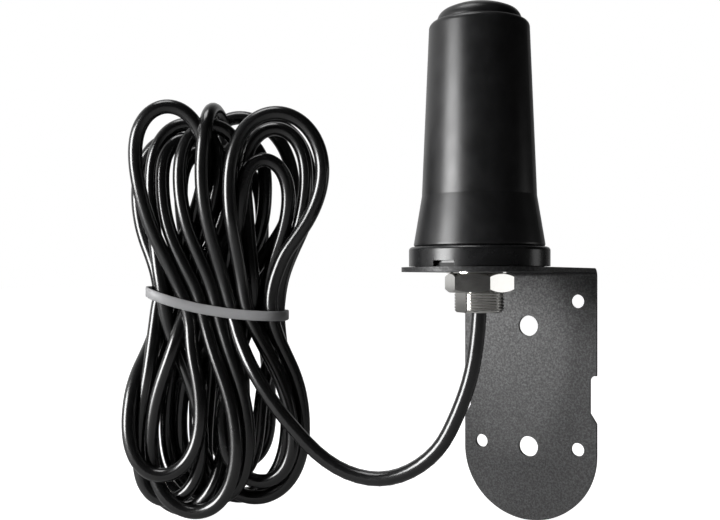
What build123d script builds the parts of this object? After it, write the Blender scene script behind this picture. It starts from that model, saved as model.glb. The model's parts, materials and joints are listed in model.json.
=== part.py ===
from build123d import *
import math
import os

# A stub antenna clamped on an L-bracket, with its coaxial lead tied into a hank.
# Millimetres. +Z is up along the antenna. The origin is the middle of the four
# screw holes, on the back face of the bracket's plate, which faces +Y.

# ---- driving dimensions ----
PLATE_W = 50.0            # width of the bracket
SHEET = 1.5               # thickness of the bracket's sheet
BEND_R = 1.5              # inner radius of the fold
AXIS_TO_BACK = 45.4       # from the stud's axis to the plate's back face
FOOT_Z = -53.3            # the plate's round foot
FLANGE_TOP_Z = 37.9       # upper face of the flange
SCREW_X, SCREW_Z = 36.6, 52.4      # spacing of the four screw holes
SCREW_R = 2.4
CLAMP_HOLE_Z = (-26.7, 17.1)       # the two holes on the centre line
CLAMP_HOLE_R = 3.7
NOTCH_DEPTH = 2.3
NOTCH_Z = (-16.7, 0.1)             # edge notches for a strap
STUD_HOLE_R = 8.5

THREAD_R = 8.1            # stud thread, major radius
THREAD_DEPTH = 0.55
PITCH = 1.0
STUD_END = -14.5          # stud's lower end, below the flange's top face
STUD_BORE_R = 4.0
STUD_HEAD_R = 10.4
NUT_FLATS, NUT_HEIGHT = 19.6, 6.2
NUT_TURN = 11.6           # degrees
NUT_BEVEL = 0.55
WASHER_R, WASHER_T = 10.4, 0.4

BASE_R = 22.6             # base disc
BASE_Z = (0.3, 6.5)
RADOME_FOOT_R = 21.0
FLARE_Z, FLARE_R = 22.9, 18.42     # where the flared foot meets the body
SHOULDER_Z, SHOULDER_R = 78.6, 16.15
SHOULDER_FILLET = 2.0
WALL = 2.2
CAP_R = 13.6
CAP_TOP = 85.1
DOME_R = 26.0
CAP_FILLET = 4.0
SLOT_ANGLE = -95.0        # the notch in the base's lower edge
BOSS_ANGLES = (90.0, 210.0, 330.0)
BOSS_AT = 12.4            # radius at which the radome's screw posts stand
HOLDER_SCREW_ANGLES = (30.0, 150.0)
BOARD_Y = 1.9             # front face of the radiator board
BOARD_T = 1.6
STRIP_Z = 9.2             # height at which the cable's jacket ends

CABLE_R = 2.5
HANK_TURN = 31.0          # direction along which the hank lies, from +X
TIE_T, TIE_W = 0.8, 3.5
TIE_WIDE, TIE_DEEP = 53.0, 26.0    # the strap's outer size round the waist
TIE_ALONG, TIE_HEIGHT = -1.2, 78.5
TIE_TILT = 9.0            # the far side stands higher

AXIS = Location((0, -AXIS_TO_BACK, 0))
ANTENNA = Location((0, -AXIS_TO_BACK, FLANGE_TOP_Z))
EPS = 0.02                # gap between faces that meet on different bodies


def ring(outer, inner, low, high):
    """Round tube or washer about the local Z axis."""
    height = high - low
    body = Cylinder(outer, height, align=(Align.CENTER, Align.CENTER, Align.MIN))
    hole = Cylinder(inner, height, align=(Align.CENTER, Align.CENTER, Align.MIN))
    return (body - hole).moved(Location((0, 0, low)))


def disc(radius, low, high):
    """Solid round bar about the local Z axis."""
    bar = Cylinder(radius, high - low, align=(Align.CENTER, Align.CENTER, Align.MIN))
    return bar.moved(Location((0, 0, low)))


def block(x, y, z):
    """Box between pairs of limits."""
    size = (x[1] - x[0], y[1] - y[0], z[1] - z[0])
    middle = (sum(x) / 2, sum(y) / 2, sum(z) / 2)
    return Box(*size).moved(Location(middle))


def polar(radius, angle):
    """Point on a circle, in degrees from +X."""
    turn = math.radians(angle)
    return radius * math.cos(turn), radius * math.sin(turn)


def spun(points):
    """Solid of revolution of a closed (radius, height) outline."""
    corners = [(r, 0, z) for r, z in points]
    face = make_face(Polyline(*corners, close=True))
    return revolve(face, Axis.Z, 360)


# ---- bracket ----
def mounting_bracket():
    """One folded sheet: a plate with a round foot and a flange with a round nose."""
    half = PLATE_W / 2
    fold_z = FLANGE_TOP_Z - SHEET - BEND_R
    foot_centre = FOOT_Z + half
    plate = block((-half, half), (-SHEET, 0), (foot_centre, fold_z))
    foot = Cylinder(half, SHEET, rotation=(90, 0, 0))
    foot = foot.moved(Location((0, -SHEET / 2, foot_centre)))
    flange_z = (FLANGE_TOP_Z - SHEET, FLANGE_TOP_Z)
    flange = block((-half, half), (-AXIS_TO_BACK, -SHEET - BEND_R), flange_z)
    nose = disc(half, *flange_z).moved(AXIS)
    outer_r = BEND_R + SHEET
    fold = Cylinder(outer_r, PLATE_W, rotation=(0, 90, 0))
    fold -= Cylinder(BEND_R, PLATE_W, rotation=(0, 90, 0))
    fold = fold.moved(Location((0, -outer_r, fold_z)))
    fold = fold & block((-half, half), (-outer_r, 0), (fold_z, FLANGE_TOP_Z))
    sheet = plate + foot + flange + nose + fold

    sheet -= disc(STUD_HOLE_R, FLANGE_TOP_Z - 5, FLANGE_TOP_Z + 5).moved(AXIS)
    for sx in (-1, 1):
        for sz in (-1, 1):
            hole = Cylinder(SCREW_R, 4 * SHEET, rotation=(90, 0, 0))
            sheet -= hole.moved(Location((sx * SCREW_X / 2, 0, sz * SCREW_Z / 2)))
    for z in CLAMP_HOLE_Z:
        sheet -= Cylinder(CLAMP_HOLE_R, 4 * SHEET, rotation=(90, 0, 0)).moved(Location((0, 0, z)))
    for side in (-1, 1):
        sheet -= edge_notch(side)
    return sheet


def edge_notch(side):
    """Shallow notch in a long edge: rounded above, bevelled below."""
    edge = side * PLATE_W / 2
    deep = edge - side * NOTCH_DEPTH
    bevel = 3.6
    low, high = NOTCH_Z
    beyond = edge + side * 2
    outline = Polyline(
        (beyond, 0, low), (edge, 0, low), (deep, 0, low + bevel), (deep, 0, high),
        (beyond, 0, high), close=True)
    notch = extrude(make_face(outline), amount=4 * SHEET, dir=(0, -1, 0), both=True)
    corner = notch.edges().filter_by(Axis.Y).sort_by_distance((deep, 0, high))[0]
    return fillet(corner, NOTCH_DEPTH * 0.8)


# ---- antenna housing: heights from the flange's top face ----
def antenna_base():
    """Round base with a pocket for the stud's head, a spigot and a gasket groove."""
    disc_low, disc_high = BASE_Z
    body = disc(BASE_R, disc_low, disc_high)
    body = fillet(body.edges().group_by(Axis.Z)[-1], 1.2)
    body += disc(18.3, disc_high, 6.8)
    body += ring(18.3, 15.2, 6.8, 12.8)
    body -= ring(18.31, 16.85, 8.8, 10.5)                 # O-ring groove
    body -= disc(THREAD_R + 0.1, 0, 8)
    body -= disc(STUD_HEAD_R + 0.1, 4.3, 8)               # pocket for the stud's head
    body -= ring(20.6, 16.9, 0, 1.3)                      # gasket groove
    body -= ring(9.75, 8.15, 3.2, 4.35)                   # seal groove under the head
    notch = block((19.8, 24), (-3.7, 3.7), (0, 2.0))
    body -= notch.moved(Rotation(0, 0, SLOT_ANGLE))
    for angle in BOSS_ANGLES:
        x, y = polar(BOSS_AT, angle)
        body -= disc(1.4, 0, 7.5).moved(Location((x, y, 0)))
        body -= disc(2.5, 0, 1.9).moved(Location((x, y, 0)))
    for angle in HOLDER_SCREW_ANGLES:
        x, y = polar(BOSS_AT, angle)
        body -= disc(0.9, 2.5, 7.5).moved(Location((x, y, 0)))
    return body


def base_gasket():
    return ring(20.55, 16.95, EPS, 1.28)


def base_o_ring():
    return Torus(17.69, 0.78).moved(Location((0, 0, 9.65)))


def base_screws():
    """Three pan-head screws up through the base into the radome's posts."""
    screws = []
    for angle in BOSS_ANGLES:
        head = disc(2.4, 0.45, 1.88)
        head -= block((-1.6, 1.6), (-0.3, 0.3), (0, 1.1))
        head -= block((-0.3, 0.3), (-1.6, 1.6), (0, 1.1))
        shank = disc(1.25, 1.88, 17.0)
        screws.append((head + shank).moved(Location((*polar(BOSS_AT, angle), 0))))
    return Compound(children=screws)


def radome_shell():
    """Tapered thin-walled tube with a flared foot, a shoulder and three screw posts."""
    foot_low = BASE_Z[1] + 0.2
    shoulder = SHOULDER_Z - SHOULDER_FILLET
    lip_r = 12.0
    with BuildPart() as shell:
        with BuildSketch(Plane.XZ):
            with BuildLine():
                Polyline(
                    (18.5, foot_low), (RADOME_FOOT_R - 0.3, foot_low),
                    (RADOME_FOOT_R, foot_low + 0.3), (RADOME_FOOT_R, foot_low + 0.8),
                    (FLARE_R, FLARE_Z), (SHOULDER_R, shoulder))
                CenterArc((SHOULDER_R - SHOULDER_FILLET, shoulder), SHOULDER_FILLET, 0, 90)
                Polyline(
                    (SHOULDER_R - SHOULDER_FILLET, SHOULDER_Z), (lip_r, SHOULDER_Z),
                    (lip_r, SHOULDER_Z - WALL), (SHOULDER_R - WALL, SHOULDER_Z - WALL - 1.6),
                    (FLARE_R - WALL, FLARE_Z), (18.5, 13.5), (18.5, foot_low))
            make_face()
        revolve(axis=Axis.Z)
    body = shell.part
    for angle in BOSS_ANGLES:
        spot = Location((*polar(BOSS_AT, angle), 0))
        post = ring(2.5, 1.3, 7.0, 34.0).moved(spot)
        rib = block((BOSS_AT + 2.0, 16.4), (-0.8, 0.8), (22.0, 34.0)).moved(Rotation(0, 0, angle))
        body += post + rib
    return body


def radome_cap():
    """Domed cap with a spigot that stands in the shell's mouth."""
    lip = SHOULDER_Z + 0.15
    dome_centre = CAP_TOP - DOME_R
    corner_r = CAP_R - CAP_FILLET
    corner_z = dome_centre + math.sqrt((DOME_R - CAP_FILLET) ** 2 - corner_r ** 2)
    tangent = math.degrees(math.atan2(corner_z - dome_centre, corner_r))
    inner_r = DOME_R - 2.0
    spigot_in = 10.2
    inner_z = dome_centre + math.sqrt(inner_r ** 2 - spigot_in ** 2)
    with BuildPart() as cap:
        with BuildSketch(Plane.XZ):
            with BuildLine():
                CenterArc((corner_r, corner_z), CAP_FILLET, 0, tangent)
                CenterArc((0, dome_centre), DOME_R, tangent, 90 - tangent)
                Line((0, CAP_TOP), (0, dome_centre + inner_r))
                inner_turn = math.degrees(math.asin(spigot_in / inner_r))
                CenterArc((0, dome_centre), inner_r, 90, -inner_turn)
                Polyline(
                    (spigot_in, inner_z), (spigot_in, 74.0), (11.95, 74.0),
                    (11.95, lip), (CAP_R, lip), (CAP_R, corner_z))
            make_face()
        revolve(axis=Axis.Z)
    return cap.part


# ---- stud, nut and washer ----
def threaded_stud():
    """Hollow stud: a round head with two flats, and a thread made of plain rings."""
    root = THREAD_R - THREAD_DEPTH
    flank = PITCH / 2
    crest = 0.06
    outline = [(STUD_BORE_R, STUD_END), (root - 0.3, STUD_END)]
    outline.append((root, STUD_END + 0.3))
    z = STUD_END + 0.5
    while z + PITCH < 4.0:
        outline.append((root, z))
        outline.append((THREAD_R, z + flank - crest))
        outline.append((THREAD_R, z + flank + crest))
        z += PITCH
    head_low, head_high = 4.32, 6.8
    outline += [(root, z), (root, head_low), (STUD_HEAD_R, head_low)]
    outline += [(STUD_HEAD_R, head_high), (STUD_BORE_R, head_high)]
    stud = spun(outline)
    flats = block((-12, 12), (-9.85, 9.85), (STUD_END - 1, 7))
    return stud & flats


def stud_seal():
    return Torus(8.95, 0.55).moved(Location((0, 0, 3.76)))


def lock_washer():
    high = -SHEET - EPS
    return ring(WASHER_R, THREAD_R + 0.25, high - WASHER_T, high)


def hex_nut():
    """Plain hex nut, bevelled on both faces, with a smooth running bore."""
    high = -SHEET - 2 * EPS - WASHER_T
    low = high - NUT_HEIGHT
    hexagon = RegularPolygon(NUT_FLATS / 2, 6, major_radius=False, rotation=NUT_TURN)
    prism = extrude(hexagon, NUT_HEIGHT).moved(Location((0, 0, low)))
    reach = NUT_FLATS / math.sqrt(3)
    cone = spun([
        (0, low), (reach - NUT_BEVEL, low), (reach + NUT_BEVEL, low + NUT_BEVEL),
        (reach + NUT_BEVEL, high - NUT_BEVEL), (reach - NUT_BEVEL, high), (0, high)])
    nut = prism & cone
    nut -= disc(THREAD_R + 0.05, low - 1, high + 1)
    mouth = spun([
        (0, low - 0.01), (THREAD_R + 0.65, low - 0.01), (THREAD_R + 0.05, low + 0.6), (0, low + 0.6)])
    return nut - mouth


def cable_grommet():
    """Rubber bush that seals the cable in the stud's mouth."""
    return ring(STUD_BORE_R, CABLE_R, STUD_END + 0.5, STUD_END + 12)


# ---- inside the radome ----
def feed_coax():
    return disc(CABLE_R, STUD_END, STRIP_Z)


def feed_core():
    """The stripped end: braid, then dielectric, then the inner conductor."""
    return disc(1.75, STRIP_Z, 22.0) + disc(1.4, 22.0, 34.0) + disc(0.5, 34.0, 39.0)


def radiator_board():
    board = block((-10, 10), (BOARD_Y, BOARD_Y + BOARD_T), (9.4, 72.5))
    for z in (24.5, 60.0):
        board -= Cylinder(1.0, 6, rotation=(90, 0, 0)).moved(Location((7.6, BOARD_Y, z)))
    return board


def lower_element():
    """Two copper strips beside the cable, joined at the feed."""
    y = (BOARD_Y - 0.1, BOARD_Y)
    strip = block((-9, -3.4), y, (14, 34.5)) + block((3.4, 9), y, (14, 34.5))
    strip += block((-9, 9), y, (32.0, 34.5))
    relief = Cylinder(1.3, 6, rotation=(90, 0, 0)).moved(Location((7.6, BOARD_Y, 24.5)))
    return strip - relief


def upper_element():
    """Wide copper strip with two legs, above the feed."""
    y = (BOARD_Y - 0.1, BOARD_Y)
    strip = block((-9, 9), y, (36.5, 58.0)) - block((-4.0, 4.0), y, (44.0, 59.0))
    return strip


def feed_solder():
    """Solder fillets: two that hold the braid, and one on the inner conductor."""
    foil = BOARD_Y - 0.1
    blobs = []
    for x in (-3.7, 3.7):
        blob = Cone(0.75, 0.35, 1.0, rotation=(90, 0, 0))
        blobs.append(blob.moved(Location((x, foil - 0.5, 33.2))))
    bead = Cone(1.1, 0.6, 0.9, rotation=(90, 0, 0)).moved(Location((0, foil - 0.45, 38.0)))
    bead -= disc(0.52, 33, 40)
    blobs.append(bead)
    return Compound(children=blobs)


def board_holder():
    """Moulded foot with a slot that grips the board's lower edge."""
    body = disc(14.9, 6.82, 9.3)
    body += block((-11.6, 11.6), (-1.0, 6.2), (9.3, 15.5))
    body -= block((-10.05, 10.05), (BOARD_Y - 0.05, BOARD_Y + BOARD_T + 0.05), (9.35, 16))
    body -= block((-9.0, 9.0), (-2, BOARD_Y), (9.35, 16))
    body -= disc(CABLE_R + 0.1, 6, 17)
    for angle in BOSS_ANGLES:
        body -= disc(2.8, 6, 17).moved(Location((*polar(BOSS_AT, angle), 0)))
    for angle in HOLDER_SCREW_ANGLES:
        body -= disc(1.1, 6, 10).moved(Location((*polar(BOSS_AT, angle), 0)))
        body -= disc(2.05, 9.3, 17).moved(Location((*polar(BOSS_AT, angle), 0)))
    return body


def holder_screws():
    screws = []
    for angle in HOLDER_SCREW_ANGLES:
        head = disc(1.9, 9.32, 10.6) - block((-1.5, 1.5), (-0.25, 0.25), (10.1, 11))
        shank = disc(0.85, 2.8, 9.32)
        screws.append((head + shank).moved(Location((*polar(BOSS_AT, angle), 0))))
    return Compound(children=screws)


def foam_spacer():
    """Foam plug that steadies the top of the board."""
    foam = disc(13.7, 63.0, 71.5)
    return foam - block((-10.02, 10.02), (BOARD_Y - 0.02, BOARD_Y + BOARD_T + 0.02), (62, 73))


# ---- the cord: places are (along the hank, away behind, height over the foot) ----
def cord_point(along, behind, height):
    """Row position of a place given along and behind the hank's own plane."""
    turn = math.radians(HANK_TURN)
    x = along * math.cos(turn) - behind * math.sin(turn)
    y = along * math.sin(turn) + behind * math.cos(turn) - AXIS_TO_BACK
    return Vector(x, y, FOOT_Z + height)


STUD_MOUTH = FLANGE_TOP_Z + STUD_END - FOOT_Z
HANK_ALONG, HANK_BEHIND = -88.0, 37.0

LEAD_ROUTE = [
    (0, 0, STUD_MOUTH), (0, 0, 62.0), (-5.5, 1.2, 46.0), (-13.5, 4.0, 29.0),
    (-30.0, 9.5, 19.3), (-48.5, 14.5, 23.5), (-65.0, 17.5, 40.5), (-75.5, 19.0, 56.0),
    (-83.0, 26.0, 72.5),
]
TAIL_ROUTE = [
    (-91.0, 45.5, 73.0), (-92.5, 53.5, 67.0), (-94.5, 58.5, 57.0), (-97.0, 60.5, 43.5),
    (-99.5, 61.0, 27.5),
]
# Sections of the tied turns: height, middle along, half width, half depth
HANK_SECTIONS = [
    (0.3, -4.0, 14.0, 9.0), (6.0, -4.5, 26.0, 14.0), (20.0, -4.6, 31.0, 16.5),
    (40.0, -4.6, 31.8, 17.0), (60.0, -3.0, 28.5, 14.5), (78.5, -1.8, 25.4, 12.0),
    (97.0, -0.5, 30.0, 15.0), (118.0, 1.0, 37.2, 17.0), (135.0, 1.0, 34.5, 16.0),
    (146.0, -2.0, 26.0, 13.0), (151.8, -4.0, 13.0, 8.0),
]


def tube_along(name, route):
    """Cable along straight runs and tangent arcs, and a line on its bend radii."""
    points = [cord_point(*place) for place in route]
    runs = [(b - a).length for a, b in zip(points, points[1:])]
    radii = []
    for i in range(1, len(points) - 1):
        turn = (points[i] - points[i - 1]).get_angle(points[i + 1] - points[i])
        shorter = min(runs[i - 1], runs[i])
        radii.append(0.45 * shorter / math.tan(math.radians(turn) / 2))
    path = FilletPolyline(*points, radius=radii)
    start = Plane(origin=points[0], z_dir=points[1] - points[0])
    tube = sweep(start * Circle(CABLE_R), path=path)
    ideal = math.pi * CABLE_R ** 2 * path.length
    print(name, "length", round(path.length, 1), "radii", [round(r) for r in radii])
    print(name, "runs", [round(r) for r in runs], "volume / ideal", round(tube.volume / ideal, 4))
    return tube


def cable_lead():
    """From the stud's mouth, down in a loop, up to the face of the tied turns."""
    return tube_along("cable_lead", LEAD_ROUTE) - cable_hank()


def cable_tail():
    """From the back of the tied turns down to the plug."""
    return tube_along("cable_tail", TAIL_ROUTE) - cable_hank()


def hank_plane():
    """Upright plane through the hank, drawn as (along, height)."""
    origin = cord_point(HANK_ALONG, HANK_BEHIND, 0)
    turn = math.radians(HANK_TURN)
    facing = (math.sin(turn), -math.cos(turn), 0)
    return Plane(origin=origin, x_dir=(math.cos(turn), math.sin(turn), 0), z_dir=facing)


def cable_hank():
    """Outer shape of the tied turns: a wide upper lobe, a waist and a lower lobe."""
    turn = math.radians(HANK_TURN)
    sections = []
    for height, middle, half_width, half_depth in HANK_SECTIONS:
        origin = cord_point(HANK_ALONG + middle, HANK_BEHIND, height)
        level = Plane(origin=origin, x_dir=(math.cos(turn), math.sin(turn), 0), z_dir=(0, 0, 1))
        sections.append(level * RectangleRounded(2 * half_width, 2 * half_depth, 0.9 * half_depth))
    return loft(sections) - tie_band(0.02)


def tie_band(clearance):
    """Flat strap around the waist, a little higher at the far side."""
    plane = hank_plane()
    middle = plane.from_local_coords(Vector(TIE_ALONG, TIE_HEIGHT, 0))
    tilt = math.radians(TIE_TILT)
    along = plane.x_dir * math.cos(tilt) + plane.y_dir * -math.sin(tilt)
    up = plane.x_dir * math.sin(tilt) + plane.y_dir * math.cos(tilt)
    level = Plane(origin=middle, x_dir=along, z_dir=up)
    corner = 9.0
    outer = level * RectangleRounded(TIE_WIDE + clearance, TIE_DEEP + clearance, corner)
    inside = (TIE_WIDE - 2 * TIE_T - clearance, TIE_DEEP - 2 * TIE_T - clearance)
    inner = level * RectangleRounded(*inside, corner - TIE_T)
    return extrude(outer - inner, amount=TIE_W / 2 + clearance, both=True)


def cable_tie():
    return tie_band(0)


# ---- the plug on the cable's free end: heights run along the plug, from the cable ----
def plug_location():
    """Local Z runs from the cable's end towards the plug's nose."""
    end = cord_point(*TAIL_ROUTE[-1])
    before = cord_point(*TAIL_ROUTE[-2])
    return Plane(origin=end, x_dir=(0, 0.3, 1), z_dir=end - before).location


def strain_boot():
    """Tapered shrink sleeve over the cable and the ferrule's tail."""
    return spun([
        (CABLE_R + 0.02, -9.0), (CABLE_R + 0.45, -9.0), (3.65, 2.0), (3.85, 6.0), (3.7, 8.0),
        (3.12, 8.0), (3.12, 0.05), (CABLE_R + 0.02, 0.0)])


def crimp_ferrule():
    tube = extrude(RegularPolygon(2.95, 6, major_radius=False), 4.0)
    tube = tube.moved(Location((0, 0, 8.1)))
    tube = tube + disc(3.1, 0.1, 8.1) + disc(3.1, 12.1, 14.0)
    return tube - disc(2.35, 0, 15)


def connector_body():
    """Turned body: crimp post, shoulder, and the tube that enters the mating socket."""
    return spun([
        (1.6, 6.0), (2.3, 6.0), (2.3, 14.02), (3.5, 14.02), (3.5, 17.5), (2.95, 17.5),
        (2.95, 18.9), (2.55, 18.9), (2.55, 19.9), (2.95, 19.9), (2.95, 21.2), (2.3, 21.2),
        (2.3, 24.6), (2.07, 24.6), (2.07, 15.0), (1.6, 15.0)])


def connector_dielectric():
    return ring(2.05, 0.65, 15.02, 22.6)


def centre_pin():
    return spun([
        (0, 13.0), (0.63, 13.0), (0.63, 23.0), (0.45, 23.2), (0.45, 25.0), (0.2, 25.4), (0, 25.4)])


def snap_ring():
    ring_body = ring(3.2, 2.6, 19.1, 19.7)
    return ring_body - block((2, 4), (-0.5, 0.5), (18, 21))


def connector_gasket():
    return ring(3.1, 2.35, 21.22, 21.9)


def coupling_nut():
    """Hex nut that spins on the body, open at the nose."""
    prism = extrude(RegularPolygon(4.0, 6, major_radius=False), 6.2)
    prism = prism.moved(Location((0, 0, 18.0)))
    cone = spun([(0, 18.0), (4.2, 18.0), (4.7, 18.5), (4.7, 23.7), (4.2, 24.2), (0, 24.2)])
    nut = (prism & cone) + disc(3.85, 24.2, 26.2)
    nut -= disc(3.03, 17, 27)
    nut -= disc(3.3, 18.95, 19.85)
    nut -= disc(3.2, 21.1, 27)
    return nut


# ---- writing ----
HOUSING = [
    antenna_base, base_gasket, base_o_ring, base_screws, radome_shell, radome_cap, threaded_stud,
    stud_seal, lock_washer, hex_nut, cable_grommet, feed_coax, feed_core, radiator_board,
    lower_element, upper_element, feed_solder, board_holder, holder_screws, foam_spacer,
]
PLUG = [
    strain_boot, crimp_ferrule, connector_body, connector_dielectric, centre_pin, snap_ring,
    connector_gasket, coupling_nut,
]
CORD = [cable_lead, cable_hank, cable_tail, cable_tie]


def write(name, shape):
    shape.label = name
    export_step(shape, f"parts/{name}.step")


os.makedirs("parts", exist_ok=True)
write("mounting_bracket", mounting_bracket())
for maker in HOUSING:
    write(maker.__name__, maker().moved(ANTENNA))
for maker in PLUG:
    write(maker.__name__, maker().moved(plug_location()))
for maker in CORD:
    write(maker.__name__, maker())
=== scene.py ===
import json
import math

import bmesh
import bpy
import numpy as np
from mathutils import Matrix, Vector


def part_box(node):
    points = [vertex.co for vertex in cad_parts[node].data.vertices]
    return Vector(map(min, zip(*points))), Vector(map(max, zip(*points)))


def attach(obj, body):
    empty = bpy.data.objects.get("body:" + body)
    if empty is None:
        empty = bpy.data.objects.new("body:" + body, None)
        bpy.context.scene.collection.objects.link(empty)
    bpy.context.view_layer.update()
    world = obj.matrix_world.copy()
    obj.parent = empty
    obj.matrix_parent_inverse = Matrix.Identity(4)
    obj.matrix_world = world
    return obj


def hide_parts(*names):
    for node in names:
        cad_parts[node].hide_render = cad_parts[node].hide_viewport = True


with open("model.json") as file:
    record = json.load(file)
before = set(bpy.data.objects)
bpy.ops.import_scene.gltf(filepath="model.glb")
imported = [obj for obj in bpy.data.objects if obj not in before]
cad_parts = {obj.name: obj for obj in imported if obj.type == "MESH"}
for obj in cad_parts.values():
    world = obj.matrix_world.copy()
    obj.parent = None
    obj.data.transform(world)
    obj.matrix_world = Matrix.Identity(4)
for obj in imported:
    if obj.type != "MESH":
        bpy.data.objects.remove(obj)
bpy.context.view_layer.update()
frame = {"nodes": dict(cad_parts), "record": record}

# A stub antenna on an L-bracket, with its coaxial lead tied in a hank.
# Metres in the frame, and millimetres in the cord's own tables.

MM = 0.001

# ---- places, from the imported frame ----
bracket_low, bracket_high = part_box("mounting_bracket")
stud_low, stud_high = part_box("threaded_stud")
AXIS_X = (stud_low.x + stud_high.x) / 2
AXIS_Y = (stud_low.y + stud_high.y) / 2
FOOT_Z = bracket_low.z
FLANGE_Z = bracket_high.z
STUD_MOUTH = (stud_low.z - FOOT_Z) / MM

# ---- the stud and its nut ----
THREAD_R = 8.1 * MM
THREAD_DEPTH = 0.55 * MM
PITCH = 1.0 * MM
THREAD_TOP = 4.0 * MM                 # the thread ends this far over the flange
RINGS_PER_TURN = 10
THREAD_STEPS = 144                    # points around
FLAT_REACH = 6.6 * MM                 # two flats along the thread, this far from its axis
FLAT_TURN = math.radians(-129)
NUT_FLATS = 19.6 * MM
NUT_TURN = math.radians(11.6)
NUT_CONE = math.tan(math.radians(32))  # slope of the cone that cuts the nut's corners
NUT_STEPS = 16                        # points along each face

# ---- the camera ----
CAMERA_TURN = math.radians(31.0)      # it looks this far to the left of +Y
CAMERA_DISTANCE = 0.2999              # in front of the stud's axis
CAMERA_ASIDE = 0.0384                 # how far left of the stud's axis it stands
CAMERA_HEIGHT = 0.0879                # over the bracket's foot
LENS_MM = 46.5
SHIFT_Y = 0.0244

right_hand = Vector((math.cos(CAMERA_TURN), math.sin(CAMERA_TURN), 0))
ahead = Vector((-math.sin(CAMERA_TURN), math.cos(CAMERA_TURN), 0))
axis_foot = Vector((AXIS_X, AXIS_Y, FOOT_Z))


def add_camera():
    data = bpy.data.cameras.new("studio_camera")
    data.lens = LENS_MM
    data.sensor_width = 36.0
    data.shift_y = SHIFT_Y
    data.clip_start = 0.01
    camera = bpy.data.objects.new("studio_camera", data)
    place = axis_foot - ahead * CAMERA_DISTANCE - right_hand * CAMERA_ASIDE
    camera.location = place + Vector((0, 0, CAMERA_HEIGHT))
    camera.rotation_euler = (math.radians(90), 0, CAMERA_TURN)
    bpy.context.scene.collection.objects.link(camera)
    bpy.context.scene.camera = camera


# ---- the cord: (along, behind, height over the foot) in the hank's own plane, mm ----
# The hank's plane faces the camera, so "along" runs to the right and "behind" runs away.
def hank_place(along, behind, height):
    """Frame position of a place in the hank's own plane."""
    return axis_foot + (right_hand * along + ahead * behind + Vector((0, 0, height))) * MM


CABLE_D = 5.0
STRAND_GAP = CABLE_D * 1.02           # between the middle lines of strands that touch
SETTLE_STEPS, SORT_EVERY, PUSH = 160, 8, 0.6
CORD_STEP = 3.2                       # spacing of the points that are settled
LEAD_ROUTE = [
    (0, 0, STUD_MOUTH), (-0.9, 0.2, 62.0), (-5.5, 1.2, 46.0), (-13.5, 4.0, 29.0),
    (-30.0, 9.5, 19.3), (-48.5, 14.5, 23.5), (-65.0, 17.5, 40.5), (-74.5, 19.5, 54.5),
    (-79.8, 23.6, 64.5), (-82.8, 27.6, 73.0),
]
TAIL_ROUTE = [
    (-91.0, 45.5, 73.0), (-92.5, 53.5, 67.0), (-94.5, 58.5, 57.0), (-97.0, 60.5, 43.5),
    (-99.5, 61.0, 27.5),
]
TIE_HEIGHT = 77.5
TIE_MIDDLE = (-89.7, 37.0)            # along, behind
TIE_HALF = (24.5, 12.3)               # half width and half depth inside the strap
STRAP_LOW, STRAP_CLIMB = 74.3, 8.9    # height of the strap's near end, and its climb
STRAP_T = 0.8
STRAP_REACH = 22.0                    # the strap gathers the turns this far above and below it
FULL_GRIP, GRIP_FADE = 5.0, 42.0      # it grips fully within the first, then over the second less
COLUMNS, ROWS = 10, 3                 # how the strands are packed where they cross the strap
FRONT_ROW, ROWS_DEEP = 27.6, 18.6     # place of the front row, and the depth that the rows share
STAGGER = 1.6                         # every second column stands this much deeper
FIRST_ROOT = (-84.0, 27.6)            # where the lead comes out above the strap
SWELL = ((0.10, 0.06), (0.36, 0.38), (0.68, 0.82), (1.0, 1.0))    # share of height, of width
ARCH = 1.25                           # an end loop is at most this much taller than its half width
ARC_TURNS = (0.5, 0.95, 1.3)          # radians along the quarter arc from a side to the loop's end
END_PULL = 1.6                        # the ends reach this much further before they are eased

HANK_DEPTH = (21.8, 52.0)             # limits of the cable's middle line
HANK_HEIGHT = (CABLE_D / 2 + 0.3, 149.5)

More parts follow.
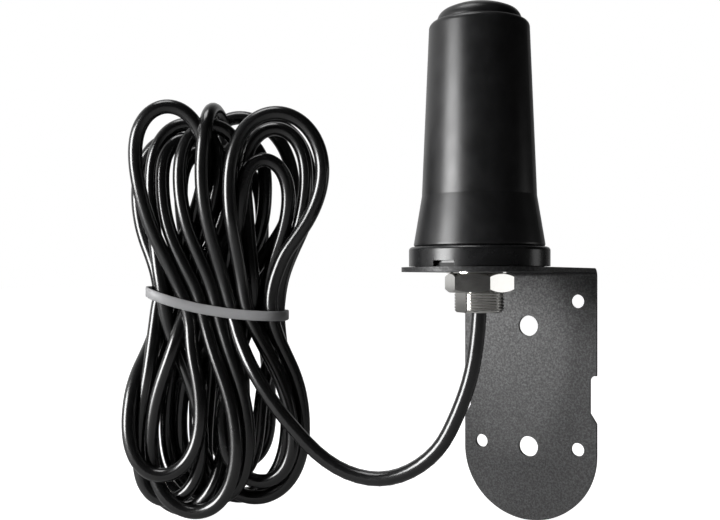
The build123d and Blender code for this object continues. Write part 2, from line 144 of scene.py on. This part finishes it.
# End loops in order along the cable, one above the strap and one below it in turn. Each is
# (side that comes first, left side, right side, height of the sides, end's place along, end's
# height, depth of the left side, of the end, of the right side).
LOOPS = [
    ("left", -94.6, -90.0, 124, -92.4, 148.4, 22.5, 36, 49.0),
    ("right", -116.0, -82.0, 40, -101.0, 6.5, 44.0, 42, 44.0),
    ("right", -113.0, -88.0, 126, -100.0, 143.0, 31.0, 31, 33.0),
    ("right", -117.5, -93.8, 36, -107.5, 8.4, 30.5, 30, 28.5),
    ("right", -118.2, -91.0, 127, -105.0, 147.6, 24.0, 25, 30.0),
    ("right", -119.3, -95.6, 39, -108.0, 18.5, 25.0, 25, 24.0),
    ("left", -122.0, -88.0, 112, -107.0, 139.5, 45.0, 42, 42.0),
    ("right", -117.0, -85.5, 28, -100.5, 5.6, 34.5, 33, 30.0),
    ("right", -108.4, -84.5, 112, -99.0, 138.4, 27.0, 30, 35.0),
    ("right", -113.0, -80.8, 31, -96.0, 6.0, 29.0, 28, 24.0),
    ("right", -101.4, -80.0, 118, -91.0, 141.5, 26.0, 31, 37.0),
    ("right", -108.0, -77.0, 33, -91.0, 10.0, 38.0, 33, 28.0),
    ("right", -103.5, -82.0, 117, -95.0, 135.0, 34.0, 38, 41.0),
    ("right", -110.0, -84.0, 38, -96.0, 15.0, 42.5, 41, 40.5),
    ("right", -97.0, -62.0, 120, -84.0, 147.5, 45.0, 46, 45.0),
    ("right", -100.0, -64.0, 38, -83.0, 8.0, 41.0, 42, 43.0),
    ("right", -89.0, -73.0, 114, -81.0, 139.0, 41.0, 40, 39.0),
    ("left", -97.0, -57.6, 44, -76.0, 9.0, 35.0, 33, 32.0),
    ("right", -83.0, -48.6, 123, -67.0, 145.4, 24.0, 25, 26.0),
    ("right", -89.0, -61.0, 36, -73.5, 15.0, 30.0, 29, 27.5),
    ("left", -80.5, -57.0, 121, -69.0, 141.5, 29.5, 30, 31.0),
    ("right", -96.0, -64.5, 36, -83.0, 9.0, 36.0, 36, 36.0),
    ("left", -86.0, -54.5, 118, -74.0, 144.5, 36.0, 36, 36.0),
    ("right", -104.0, -75.5, 36, -90.0, 12.0, 37.0, 38, 39.0),
    ("left", -80.0, -62.5, 116, -73.0, 130.5, 27.0, 29, 30.0),
    ("right", -95.0, -72.0, 46, -83.5, 17.0, 46.5, 47, 47.0),
    ("right", -94.0, -75.5, 112, -84.5, 130.0, 47.5, 47, 46.0),
]


def crossings():
    """Where each strand passes the strap: packed in columns, in the order of its two loops."""
    wanted = []
    for above, below in zip(LOOPS, LOOPS[1:]):
        leaving = (above[2], above[8]) if above[0] == "left" else (above[1], above[6])
        entering = (below[1], below[6]) if below[0] == "left" else (below[2], below[8])
        wanted.append(((leaving[0] + entering[0]) / 2, (leaving[1] + entering[1]) / 2))
    order = sorted(range(len(wanted)), key=lambda k: wanted[k][0])
    places = [None] * len(wanted)
    per_column = len(wanted) / COLUMNS
    half_along = TIE_HALF[0] - CABLE_D / 2
    for column in range(COLUMNS):
        members = order[round(column * per_column):round((column + 1) * per_column)]
        members.sort(key=lambda k: wanted[k][1])
        along = TIE_MIDDLE[0] + half_along * (2 * column / (COLUMNS - 1) - 1)
        for row, k in enumerate(members):
            stagger = (column % 2 - 0.5) * STAGGER
            deep = FRONT_ROW + stagger + row * ROWS_DEEP / ROWS
            places[k] = (along, deep)
    return places


def half_turn(loop, first_root, second_root):
    """Points of one end loop, out from the strap along one side and back along the other."""
    first, left, right, side_height, end_along, end_height, deep_left, deep_end, deep_right = loop
    reach = side_height - TIE_HEIGHT
    onward = math.copysign(1.0, reach)
    end_height += onward * END_PULL
    sides = [(left, deep_left), (right, deep_right)]
    if first == "right":
        sides.reverse()
    branches = []
    for (side, deep), (root_along, root_deep) in zip(sides, (first_root, second_root)):
        branch = []
        for share, swell in SWELL:
            branch.append((
                root_along + (side - root_along) * swell,
                root_deep + (deep - root_deep) * swell,
                TIE_HEIGHT + reach * share))
        across = math.hypot(side - end_along, deep - deep_end)
        climb = min(abs(end_height - side_height), ARCH * across)
        spring = end_height - onward * climb
        if abs(spring - side_height) > CABLE_D:
            branch.append((side, deep, spring))
        for turn in ARC_TURNS:
            inward = 1 - math.cos(turn)
            branch.append((
                side + (end_along - side) * inward,
                deep + (deep_end - deep) * inward,
                spring + onward * climb * math.sin(turn)))
        branches.append(branch)
    return branches[0] + [(end_along, deep_end, end_height)] + branches[1][::-1]


def coil_points():
    """Guide points of every turn, in order along the cable."""
    roots = [FIRST_ROOT] + crossings() + [TAIL_ROUTE[0][:2]]
    points = []
    for k, loop in enumerate(LOOPS):
        points += half_turn(loop, roots[k], roots[k + 1])
    return np.array(points, float)


def respaced(line, step):
    """The same line with points about one step apart."""
    gaps = np.linalg.norm(np.diff(line, axis=0), axis=1)
    run = np.concatenate([[0], np.cumsum(gaps)])
    at = np.linspace(0, run[-1], int(round(run[-1] / step)) + 1)
    return np.stack([np.interp(at, run, line[:, k]) for k in range(3)], axis=1)


def rounded(line, passes):
    """The line with its corners eased, its two ends kept."""
    line = line.copy()
    for _ in range(passes):
        line[1:-1] += 0.5 * ((line[:-2] + line[2:]) / 2 - line[1:-1])
    return line


def in_strap(line):
    """Keeps the strands inside the strap, and eases them towards it above and below."""
    half_along = TIE_HALF[0] - CABLE_D / 2
    half_deep = TIE_HALF[1] - CABLE_D / 2
    x = (line[:, 0] - TIE_MIDDLE[0]) / half_along
    y = (line[:, 1] - TIE_MIDDLE[1]) / half_deep
    size = (np.abs(x) ** 4 + np.abs(y) ** 4) ** 0.25
    from_strap = np.abs(line[:, 2] - TIE_HEIGHT)
    away = np.maximum(0, from_strap - FULL_GRIP)
    room = 1.0 + (away / GRIP_FADE) ** 1.5
    scale = np.where(size > room, room / np.maximum(size, 1e-9), 1.0)
    near = from_strap < STRAP_REACH
    line[near, 0] = TIE_MIDDLE[0] + (x * half_along * scale)[near]
    line[near, 1] = TIE_MIDDLE[1] + (y * half_deep * scale)[near]


def near_pairs(line, fixed, within):
    """Pairs of places that come near each other, but not neighbours along the cable."""
    both = np.concatenate([line, fixed])
    first, second = [], []
    for i in range(len(line) - 4):
        gap = np.abs(both[i + 4:] - line[i]).max(axis=1)
        close = np.nonzero(gap < within)[0] + i + 4
        first.append(np.full(len(close), i))
        second.append(close)
    return np.concatenate(first), np.concatenate(second)


def settled(guide, fixed):
    """Pushes strands that would share a place a diameter apart, mostly in depth."""
    line = guide.copy()
    count = len(line)
    freedom = np.array([0.55, 1.0, 0.45])       # how far each push counts: along, behind, height
    hold = np.array([0.985, 0.997, 0.985])      # how much of its shift the line keeps each step
    for step in range(SETTLE_STEPS):
        if step % SORT_EVERY == 0:
            first, second = near_pairs(line, fixed, 2 * CABLE_D)
        both = np.concatenate([line, fixed])
        gap = both[first] - both[second]
        far = np.linalg.norm(gap, axis=1) + 1e-6
        short = np.maximum(0.0, STRAND_GAP - far)
        push = gap / far[:, None] * short[:, None]
        moved = np.zeros_like(both)
        np.add.at(moved, first, push)
        np.add.at(moved, second, -push)
        touching = np.zeros(len(both))
        np.add.at(touching, first, short > 0)
        np.add.at(touching, second, short > 0)
        moved /= np.sqrt(np.maximum(1, touching))[:, None]
        line = line + PUSH * moved[:count] * freedom
        shift = line - guide
        for _ in range(3):
            shift[1:-1] += 0.5 * ((shift[:-2] + shift[2:]) / 2 - shift[1:-1])
        shift *= hold
        shift[:2] = 0
        shift[-2:] = 0
        line = guide + shift
        in_strap(line)
        line[:, 1] = np.clip(line[:, 1], *HANK_DEPTH)
        line[:, 2] = np.clip(line[:, 2], *HANK_HEIGHT)
    return line


def cord_line():
    """Control points of the whole cable, lead, turns and tail."""
    guide = np.concatenate([[LEAD_ROUTE[-1]], coil_points(), [TAIL_ROUTE[0]]])
    guide = rounded(respaced(guide, CORD_STEP), 6)
    guide = respaced(guide, CORD_STEP)
    lead = respaced(np.array(LEAD_ROUTE[:-1], float), CORD_STEP)
    tail = respaced(np.array(TAIL_ROUTE[1:], float), CORD_STEP)
    coil = settled(guide, np.concatenate([lead[:-2], tail[2:]]))
    turns = coil[2:-2:2]
    return LEAD_ROUTE + [tuple(p) for p in turns] + TAIL_ROUTE


def add_cord(finish):
    points = [hank_place(*p) for p in cord_line()]
    curve = bpy.data.curves.new("antenna_lead", "CURVE")
    curve.dimensions = "3D"
    curve.bevel_depth = CABLE_D / 2 * MM
    curve.bevel_resolution = 5
    curve.use_fill_caps = True
    curve.resolution_u = 5
    spline = curve.splines.new("NURBS")
    spline.points.add(len(points) - 1)
    for spot, p in zip(spline.points, points):
        spot.co = (*p, 1.0)
    spline.order_u = 3
    spline.use_endpoint_u = True
    curve.materials.append(finish)
    cord = bpy.data.objects.new("antenna_lead", curve)
    bpy.context.scene.collection.objects.link(cord)
    return cord


# ---- materials ----
def material(name, colour, roughness, metallic=0.0, coat=0.0, coat_roughness=0.1):
    """A Principled material and its node tree, ready for detail."""
    made = bpy.data.materials.new(name)
    made.use_nodes = True
    shader = made.node_tree.nodes["Principled BSDF"]
    shader.inputs["Base Color"].default_value = (*colour, 1)
    shader.inputs["Roughness"].default_value = roughness
    shader.inputs["Metallic"].default_value = metallic
    shader.inputs["Coat Weight"].default_value = coat
    shader.inputs["Coat Roughness"].default_value = coat_roughness
    return made


def noise(made, scale, detail=3.0, roughness=0.55):
    """A noise texture on the object's own coordinates, in metres."""
    nodes, links = made.node_tree.nodes, made.node_tree.links
    where = nodes.new("ShaderNodeTexCoord")
    grain = nodes.new("ShaderNodeTexNoise")
    grain.inputs["Scale"].default_value = scale
    grain.inputs["Detail"].default_value = detail
    grain.inputs["Roughness"].default_value = roughness
    links.new(where.outputs["Object"], grain.inputs["Vector"])
    return grain.outputs["Fac"]


def tint(made, factor, low, high, dark, light):
    """Colours the surface from dark to light as the factor goes from low to high."""
    nodes, links = made.node_tree.nodes, made.node_tree.links
    ramp = nodes.new("ShaderNodeValToRGB")
    ramp.color_ramp.elements[0].position = low
    ramp.color_ramp.elements[0].color = (*dark, 1)
    ramp.color_ramp.elements[1].position = high
    ramp.color_ramp.elements[1].color = (*light, 1)
    links.new(factor, ramp.inputs["Fac"])
    links.new(ramp.outputs["Color"], nodes["Principled BSDF"].inputs["Base Color"])


def gloss(made, factor, low, high, smooth, rough):
    """Roughness from smooth to rough as the factor goes from low to high."""
    nodes, links = made.node_tree.nodes, made.node_tree.links
    scale = nodes.new("ShaderNodeMapRange")
    for name, value in (("From Min", low), ("From Max", high), ("To Min", smooth), ("To Max", rough)):
        scale.inputs[name].default_value = value
    links.new(factor, scale.inputs["Value"])
    links.new(scale.outputs["Result"], nodes["Principled BSDF"].inputs["Roughness"])


def bump(made, factor, depth):
    """Small relief, its depth in metres."""
    nodes, links = made.node_tree.nodes, made.node_tree.links
    relief = nodes.new("ShaderNodeBump")
    relief.inputs["Distance"].default_value = depth
    relief.inputs["Strength"].default_value = 1.0
    links.new(factor, relief.inputs["Height"])
    links.new(relief.outputs["Normal"], nodes["Principled BSDF"].inputs["Normal"])


def grained(name, colour, roughness, spread, scale, depth, change=0.25, **more):
    """A moulded or sprayed finish: uneven colour, uneven gloss and a fine relief."""
    made = material(name, colour, roughness, **more)
    fine = noise(made, scale)
    broad = noise(made, scale / 14, detail=4)
    dark = [c * (1 - change) for c in colour]
    light = [min(1, c * (1 + change)) for c in colour]
    tint(made, broad, 0.35, 0.68, dark, light)
    gloss(made, broad, 0.3, 0.7, roughness - spread, roughness + spread)
    bump(made, fine, depth)
    return made


def make_materials():
    return {
        "radome_plastic": grained("radome_plastic", (0.008, 0.008, 0.0085), 0.35, 0.03, 2600, 8e-6),
        "base_plastic": grained("base_plastic", (0.008, 0.008, 0.0085), 0.27, 0.03, 2400, 8e-6),
        "nickel_plate": grained(
            "nickel_plate", (0.72, 0.71, 0.685), 0.13, 0.04, 900, 3e-6, change=0.08, metallic=1.0),
        "cable_jacket": grained(
            "cable_jacket", (0.005, 0.005, 0.0052), 0.25, 0.03, 700, 8e-6, coat=0.5, coat_roughness=0.16),
        "tie_strap": grained("tie_strap", (0.245, 0.245, 0.25), 0.5, 0.06, 1800, 1e-5, change=0.06),
        "seal_rubber": grained("seal_rubber", (0.015, 0.015, 0.015), 0.6, 0.08, 1500, 1e-5),
        "screw_steel": grained(
            "screw_steel", (0.55, 0.55, 0.56), 0.32, 0.06, 1400, 4e-6, change=0.1, metallic=1.0),
        "board_laminate": grained("board_laminate", (0.03, 0.16, 0.06), 0.35, 0.04, 1200, 6e-6),
        "copper": grained("copper", (0.80, 0.42, 0.25), 0.3, 0.08, 900, 3e-6, change=0.15, metallic=1.0),
        "braid": grained("braid", (0.66, 0.64, 0.60), 0.35, 0.1, 2500, 8e-5, change=0.3, metallic=1.0),
        "solder": grained("solder", (0.70, 0.70, 0.70), 0.25, 0.08, 1500, 8e-6, change=0.1, metallic=1.0),
        "holder_plastic": grained("holder_plastic", (0.72, 0.72, 0.69), 0.5, 0.05, 1500, 8e-6, change=0.04),
        "foam": grained("foam", (0.09, 0.09, 0.09), 0.9, 0.05, 900, 2e-4),
        "shrink_sleeve": grained("shrink_sleeve", (0.012, 0.012, 0.012), 0.5, 0.06, 900, 3e-5),
        "white_insulator": grained(
            "white_insulator", (0.85, 0.85, 0.83), 0.45, 0.04, 1200, 5e-6, change=0.03),
        "gold": grained("gold", (0.90, 0.66, 0.26), 0.22, 0.05, 1200, 3e-6, change=0.06, metallic=1.0),
        "red_silicone": grained("red_silicone", (0.45, 0.05, 0.04), 0.5, 0.05, 1200, 5e-6, change=0.1),
        "bracket_coat": bracket_coat(),
    }


def bracket_coat():
    """Black powder coat: dense fine speckle, lighter grains standing a little proud."""
    made = material("bracket_coat", (0.03, 0.03, 0.031), 0.5)
    speckle = noise(made, 1500, detail=3, roughness=0.7)
    tint(made, speckle, 0.42, 0.66, (0.004, 0.004, 0.0042), (0.042, 0.042, 0.044))
    gloss(made, speckle, 0.35, 0.65, 0.55, 0.38)
    bump(made, speckle, 6e-5)
    return made


# ---- small mesh tools ----
UPRIGHT = Vector((0, 0, 1))


def shown(name, mesh, finish):
    """A smooth-shaded object of one mesh and one material."""
    for face in mesh.polygons:
        face.use_smooth = True
    mesh.materials.clear()
    mesh.materials.append(finish)
    piece = bpy.data.objects.new(name, mesh)
    bpy.context.scene.collection.objects.link(piece)
    return piece


def swept(name, ring, outline, finish, closed):
    """A bar of constant section along a level ring of points, in millimetres (high, thick)."""
    mesh = bpy.data.meshes.new(name)
    shape = bmesh.new()
    count = len(ring)
    rows = []
    for k, spot in enumerate(ring):
        after = ring[(k + 1) % count] if closed else ring[min(k + 1, count - 1)]
        before = ring[k - 1] if closed else ring[max(k - 1, 0)]
        forward = (after - before).normalized()
        outward = forward.cross(UPRIGHT).normalized()
        up = outward.cross(forward).normalized()
        rows.append([shape.verts.new(spot + up * w * MM + outward * t * MM) for w, t in outline])
    sides = len(outline)
    for k in range(count if closed else count - 1):
        this, following = rows[k], rows[(k + 1) % count]
        for i in range(sides):
            j = (i + 1) % sides
            shape.faces.new((this[i], this[j], following[j], following[i]))
    if not closed:
        shape.faces.new(rows[0][::-1])
        shape.faces.new(rows[-1])
    bmesh.ops.recalc_face_normals(shape, faces=shape.faces)
    shape.to_mesh(mesh)
    shape.free()
    return shown(name, mesh, finish)


def strap_outline(half_wide, half_thick):
    """Flat section with eased edges."""
    ease = half_thick * 0.55
    return [
        (-half_wide, -half_thick + ease), (-half_wide + ease, -half_thick),
        (half_wide - ease, -half_thick), (half_wide, -half_thick + ease),
        (half_wide, half_thick - ease), (half_wide - ease, half_thick),
        (-half_wide + ease, half_thick), (-half_wide, half_thick - ease)]


def strap_height(along):
    """The strap climbs towards the far end of the bundle."""
    half_wide = TIE_HALF[0] + STRAP_T
    share = (TIE_MIDDLE[0] + half_wide - along) / (2 * half_wide)
    return STRAP_LOW + STRAP_CLIMB * max(0.0, share) ** 2.2


def strap_place(turn, out):
    """A place on the strap's way round the turns, this far outside the bundle."""
    c, s = math.cos(turn), math.sin(turn)
    along = TIE_MIDDLE[0] + (TIE_HALF[0] + out) * math.copysign(abs(c) ** 0.5, c)
    deep = TIE_MIDDLE[1] + (TIE_HALF[1] + out) * math.copysign(abs(s) ** 0.5, s)
    return hank_place(along, deep, strap_height(along))


def add_tie(finish):
    """The strap round the waist, with its lock and its loose end behind the bundle."""
    count = 144
    ring = [strap_place(2 * math.pi * (k + 0.5) / count, 0.42) for k in range(count)]
    band = swept("strap_tie", ring, strap_outline(1.75, 0.4), finish, True)

    lock_turn = math.radians(62)
    lock_ring = [strap_place(lock_turn + math.radians(a), 1.75) for a in (-5.0, -3.2, 0, 3.2, 5.0)]
    lock = swept("strap_lock", lock_ring, strap_outline(2.5, 1.15), finish, False)

    end_ring = []
    for k in range(16):
        share = k / 15
        spot = strap_place(lock_turn + math.radians(6 + 26 * share), 1.1 + 2.2 * share ** 2)
        end_ring.append(spot + Vector((0, 0, -1.5 * MM * share ** 2)))
    end = swept("strap_end", end_ring, strap_outline(1.6, 0.35), finish, False)
    return [band, lock, end]


# ---- stud and nut ----
def turned(name, turns, skins, finish, crisp):
    """A closed skin through rings of (radii, heights), with edges over crisp degrees kept."""
    shape = bmesh.new()
    rows = []
    for radii, heights in skins:
        rows.append([
            shape.verts.new((AXIS_X + r * math.cos(t), AXIS_Y + r * math.sin(t), z))
            for r, z, t in zip(radii, heights, turns)])
    for this, following in zip(rows, rows[1:] + rows[:1]):
        for k in range(len(turns)):
            j = (k + 1) % len(turns)
            shape.faces.new((this[k], this[j], following[j], following[k]))
    bmesh.ops.recalc_face_normals(shape, faces=shape.faces)
    mesh = bpy.data.meshes.new(name)
    shape.to_mesh(mesh)
    shape.free()
    piece = shown(name, mesh, finish)
    mesh.set_sharp_from_angle(angle=math.radians(crisp))
    return piece


def thread_ring(turns, z, low):
    """Radii of the thread at one height: round crests, sharp roots, and two flats along it."""
    fade = min(1.0, (z - low) / (0.9 * MM))
    bevel = 0.35 * MM * max(0.0, 1 - (z - low) / (0.5 * MM))
    radii = []
    for turn in turns:
        phase = (z / PITCH - turn / (2 * math.pi)) % 1.0
        crest = abs(math.sin(math.pi * phase))
        round_r = THREAD_R - THREAD_DEPTH * (1 - crest * fade) - bevel
        flat_r = FLAT_REACH / max(1e-6, abs(math.cos(turn - FLAT_TURN)))
        radii.append(min(round_r, flat_r))
    return radii


def add_stud(finish):
    """The hollow stud: a right-handed thread to its bevelled end, and a flatted head."""
    around = THREAD_STEPS
    turns = [2 * math.pi * k / around for k in range(around)]
    low, high = stud_low.z, FLANGE_Z + THREAD_TOP
    levels = int((high - low) / PITCH * RINGS_PER_TURN)
    skins = []
    for level in range(levels + 1):
        z = low + (high - low) * level / levels
        skins.append((thread_ring(turns, z, low), [z] * around))
    half_flat = (stud_high.y - stud_low.y) / 2
    head_r = (stud_high.x - stud_low.x) / 2
    head = [min(head_r, half_flat / max(1e-6, abs(math.sin(t)))) for t in turns]
    ease = 0.3 * MM
    bore = stud_bore()
    mouth = 0.4 * MM
    for radii, z in (
            ([THREAD_R - THREAD_DEPTH] * around, high + ease), (head, high + ease),
            (head, stud_high.z - ease), ([r - ease for r in head], stud_high.z),
            ([bore] * around, stud_high.z), ([bore] * around, low + mouth),
            ([bore + mouth] * around, low)):
        skins.append((radii, [z] * around))
    return turned("clamp_stud", turns, skins, finish, 35)


def stud_bore():
    """Radius of the stud's bore: the grommet fills it."""
    low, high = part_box("cable_grommet")
    return (high.x - low.x) / 2


def add_nut(finish):
    """The hex nut with cone-cut corners, so each face ends in an arc."""
    nut_low, nut_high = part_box("hex_nut")
    around = 6 * NUT_STEPS
    apothem = NUT_FLATS / 2
    turns = [NUT_TURN + 2 * math.pi * k / around for k in range(around)]
    walls = []
    for k in range(around):
        from_middle = math.pi / 6 * (2 * (k % NUT_STEPS) / NUT_STEPS - 1)
        walls.append(apothem / math.cos(from_middle))
    face_r = apothem * 0.97
    cut = [(r - face_r) * NUT_CONE for r in walls]
    bore = THREAD_R + 0.05 * MM
    mouth = 0.6 * MM
    skins = [
        ([bore] * around, [nut_high.z] * around),
        ([face_r] * around, [nut_high.z] * around),
        (walls, [nut_high.z - c for c in cut]),
        (walls, [nut_low.z + c for c in cut]),
        ([face_r] * around, [nut_low.z] * around),
        ([bore + mouth] * around, [nut_low.z] * around),
        ([bore] * around, [nut_low.z + mouth] * around)]
    return turned("clamp_nut", turns, skins, finish, 12)


# ---- surroundings ----
LIGHTS_AIM_Z = 0.03
FLOOR_REACH = 6.0


def floor_paint():
    """White where it is looked at, and greyer in what the object mirrors of it."""
    made = grained("floor_paint", (0.4, 0.4, 0.4), 0.7, 0.02, 60, 1e-5, change=0.01)
    nodes, links = made.node_tree.nodes, made.node_tree.links
    pale = nodes.new("ShaderNodeBsdfDiffuse")
    pale.inputs["Color"].default_value = (0.6, 0.6, 0.6, 1)
    glow = nodes.new("ShaderNodeEmission")
    glow.inputs["Strength"].default_value = 0.93
    both = nodes.new("ShaderNodeAddShader")
    links.new(pale.outputs[0], both.inputs[0])
    links.new(glow.outputs[0], both.inputs[1])
    ray = nodes.new("ShaderNodeLightPath")
    mix = nodes.new("ShaderNodeMixShader")
    links.new(ray.outputs["Is Camera Ray"], mix.inputs["Fac"])
    links.new(nodes["Principled BSDF"].outputs[0], mix.inputs[1])
    links.new(both.outputs[0], mix.inputs[2])
    links.new(mix.outputs[0], nodes["Material Output"].inputs["Surface"])
    return made


def add_floor():
    """Pale floor at the foot's level."""
    mesh = bpy.data.meshes.new("floor")
    shape = bmesh.new()
    drop = 0.0002
    corners = ((-1, -1), (1, -1), (1, 1), (-1, 1))
    shape.faces.new([
        shape.verts.new((x * FLOOR_REACH, y * FLOOR_REACH, FOOT_Z - drop)) for x, y in corners])
    shape.to_mesh(mesh)
    shape.free()
    floor = shown("floor", mesh, floor_paint())


def add_light(name, side, front, height, width, tall, power):
    """A soft box placed to the camera's right, in front, and above the stud's foot."""
    data = bpy.data.lights.new(name, "AREA")
    data.shape = "RECTANGLE"
    data.size = width
    data.size_y = tall
    data.energy = power
    lamp = bpy.data.objects.new(name, data)
    place = axis_foot + right_hand * side - ahead * front + Vector((0, 0, height))
    lamp.location = place
    target = Vector((AXIS_X, AXIS_Y, LIGHTS_AIM_Z))
    lamp.rotation_mode = "QUATERNION"
    lamp.rotation_quaternion = (target - place).to_track_quat("-Z", "Y")
    bpy.context.scene.collection.objects.link(lamp)


def add_world():
    """White behind the object; its reflections are brightest from behind on the left."""
    world = bpy.data.worlds.new("studio")
    bpy.context.scene.world = world
    world.use_nodes = True
    nodes, links = world.node_tree.nodes, world.node_tree.links
    nodes["Background"].inputs["Color"].default_value = (1, 1, 1, 1)
    where = nodes.new("ShaderNodeTexCoord")
    behind = nodes.new("ShaderNodeVectorMath")
    behind.operation = "DOT_PRODUCT"
    behind.inputs[1].default_value = ahead * 0.8 - right_hand * 0.6
    links.new(where.outputs["Generated"], behind.inputs[0])
    fade = nodes.new("ShaderNodeMapRange")
    fade.interpolation_type = "SMOOTHSTEP"
    for name, value in (("From Min", -0.1), ("From Max", 1.0), ("To Min", 0.012), ("To Max", 0.76)):
        fade.inputs[name].default_value = value
    links.new(behind.outputs["Value"], fade.inputs["Value"])
    links.new(fade.outputs["Result"], nodes["Background"].inputs["Strength"])
    white = nodes.new("ShaderNodeBackground")
    white.inputs["Color"].default_value = (1, 1, 1, 1)
    white.inputs["Strength"].default_value = 1.0
    ray = nodes.new("ShaderNodeLightPath")
    mix = nodes.new("ShaderNodeMixShader")
    links.new(ray.outputs["Is Camera Ray"], mix.inputs["Fac"])
    links.new(nodes["Background"].outputs[0], mix.inputs[1])
    links.new(white.outputs[0], mix.inputs[2])
    links.new(mix.outputs[0], nodes["World Output"].inputs["Surface"])


def main():
    scene = bpy.context.scene
    scene.view_settings.view_transform = "Standard"
    add_camera()
    finishes = make_materials()
    slots = {s["node"]: s["material_slot"] for s in frame["record"]["subparts"]}
    for name, node in frame["nodes"].items():
        for slot in node.material_slots:
            slot.material = finishes[slots[name]]

    cord = add_cord(finishes["cable_jacket"])
    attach(cord, "antenna")
    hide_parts("cable_lead", "cable_hank", "cable_tail")

    for part in add_tie(finishes["tie_strap"]):
        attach(part, "antenna")
        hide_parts("cable_tie")

    stud = add_stud(finishes["nickel_plate"])
    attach(stud, "antenna")
    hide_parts("threaded_stud")

    nut = add_nut(finishes["nickel_plate"])
    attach(nut, "nut")
    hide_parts("hex_nut")

    add_floor()
    add_world()
    add_light("key", -0.72, 0.34, 0.20, 0.38, 0.38, 9)
    add_light("side", 0.80, -0.06, 0.10, 0.24, 0.16, 0.18)
    add_light("top", -0.25, 0.05, 0.9, 0.4, 0.4, 2.5)


main()
